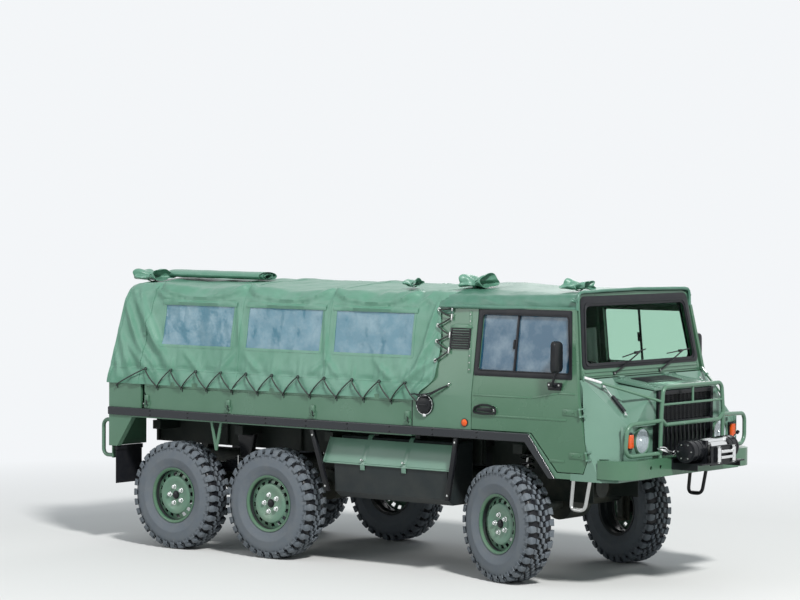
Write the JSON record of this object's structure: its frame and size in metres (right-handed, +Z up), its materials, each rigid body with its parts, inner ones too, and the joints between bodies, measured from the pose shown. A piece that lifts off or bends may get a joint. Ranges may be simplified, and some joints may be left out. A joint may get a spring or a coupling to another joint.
{
  "type": "cargo truck",
  "caption": "Six-wheel light military cargo truck with a canvas canopy over bed and cab, brush guard and front winch.",
  "frame": {"origin": "on the ground under the middle of the length and width, out to the mirrors", "axes": "+X forwards, +Y to the left of the truck, +Z up"},
  "size_m": [5.357, 2, 2.1734],
  "materials": {
    "body_paint": "semi-matt olive green",
    "dark_paint": "satin black",
    "under_paint": "dull olive green",
    "canvas": "woven canvas",
    "tyre": "matt",
    "rubber": "matt",
    "glass": "clear",
    "clear_sheet": "clear flexible sheet",
    "lamp_glass": "ribbed",
    "orange_lens": "gloss",
    "steel": "worn",
    "cast": "rough",
    "seat_cover": "woven",
    "slat_wood": "varnished",
    "black_plastic": "matt"
  },
  "bodies": {
    "truck": {"axles": "under_paint", "backbone": "under_paint", "springs": "cast", "engine_block": "cast", "cargo_bed": "under_paint", "drop_sides": "body_paint", "corner_panels": "body_paint", "side_panels": "body_paint", "cab_tub": "body_paint", "rub_rails": "dark_paint", "seats": "seat_cover", "benches": "slat_wood", "dashboard": "dark_paint", "steering_wheel": "black_plastic", "canopy": "canvas", "canopy_windows": "clear_sheet", "hoops": "under_paint", "cab_canopy": "canvas", "nose": "body_paint", "grille": "dark_paint", "headlamps": "lamp_glass", "marker_lamps": "orange_lens", "windscreen_frame": "body_paint", "windscreen_glass": "glass", "bumper": "body_paint", "brush_guard": "body_paint", "winch": "dark_paint", "winch_rope": "steel", "steps": "dark_paint", "side_boxes": "body_paint", "bumperettes": "body_paint", "mudflaps": "rubber", "tow_hitch": "dark_paint", "rolled_curtain": "canvas"},
    "wheel_front_right": {"tyre_front_right": "tyre", "rim_front_right": "body_paint"},
    "wheel_front_left": {"tyre_front_left": "tyre", "rim_front_left": "body_paint"},
    "wheel_mid_right": {"tyre_mid_right": "tyre", "rim_mid_right": "body_paint"},
    "wheel_mid_left": {"tyre_mid_left": "tyre", "rim_mid_left": "body_paint"},
    "wheel_rear_right": {"tyre_rear_right": "tyre", "rim_rear_right": "body_paint"},
    "wheel_rear_left": {"tyre_rear_left": "tyre", "rim_rear_left": "body_paint"},
    "steer_right": {"knuckle_front_right": "cast"},
    "door_right": {"door_right": "body_paint", "door_glass_right": "glass", "mirror_right": "dark_paint"},
    "steer_left": {"knuckle_front_left": "cast"},
    "door_left": {"door_left": "body_paint", "door_glass_left": "glass", "mirror_left": "dark_paint"},
    "bonnet": {"bonnet": "body_paint"},
    "tailgate": {"tailgate": "body_paint"}
  },
  "joints": [
    {"name": "steer_right", "type": "hinge", "parent": "truck", "child": "steer_right", "pos_m": [1.3065, -0.71, 0.424], "axis": [0, 0, 1], "range_deg": [-14.2, 49.8]},
    {"name": "steer_left", "type": "hinge", "parent": "truck", "child": "steer_left", "pos_m": [1.3065, 0.71, 0.424], "axis": [0, 0, 1], "range_deg": [-14.2, 49.8]},
    {"name": "spin_front_right", "type": "hinge", "parent": "steer_right", "child": "wheel_front_right", "pos_m": [1.29122, -0.75761, 0.424], "axis": [0.3057, 0.9521, 0], "continuous": true},
    {"name": "spin_front_left", "type": "hinge", "parent": "steer_left", "child": "wheel_front_left", "pos_m": [1.32178, 0.75761, 0.424], "axis": [0.3057, 0.9521, 0], "continuous": true},
    {"name": "spin_mid_right", "type": "hinge", "parent": "truck", "child": "wheel_mid_right", "pos_m": [-0.8935, -0.76, 0.424], "axis": [0, 1, 0], "continuous": true},
    {"name": "spin_mid_left", "type": "hinge", "parent": "truck", "child": "wheel_mid_left", "pos_m": [-0.8935, 0.76, 0.424], "axis": [0, 1, 0], "continuous": true},
    {"name": "spin_rear_right", "type": "hinge", "parent": "truck", "child": "wheel_rear_right", "pos_m": [-1.8735, -0.76, 0.424], "axis": [0, 1, 0], "continuous": true},
    {"name": "spin_rear_left", "type": "hinge", "parent": "truck", "child": "wheel_rear_left", "pos_m": [-1.8735, 0.76, 0.424], "axis": [0, 1, 0], "continuous": true},
    {"name": "door_right", "type": "hinge", "parent": "truck", "child": "door_right", "pos_m": [2.0635, -0.892, 0.93], "axis": [-0.1881, 0, 0.9822], "range_deg": [0, 70]},
    {"name": "door_left", "type": "hinge", "parent": "truck", "child": "door_left", "pos_m": [2.0635, 0.892, 0.93], "axis": [0.1881, 0, -0.9822], "range_deg": [0, 70]},
    {"name": "bonnet", "type": "hinge", "parent": "truck", "child": "bonnet", "pos_m": [1.9605, 0, 1.491], "axis": [0, -1, 0], "range_deg": [0, 60]},
    {"name": "tailgate", "type": "hinge", "parent": "truck", "child": "tailgate", "pos_m": [-2.5615, 0, 1.106], "axis": [0, -1, 0], "range_deg": [0, 90]}
  ],
  "couplings": [
    {"joint": "steer_left", "follows": "steer_right", "ratio": 1}
  ]
}
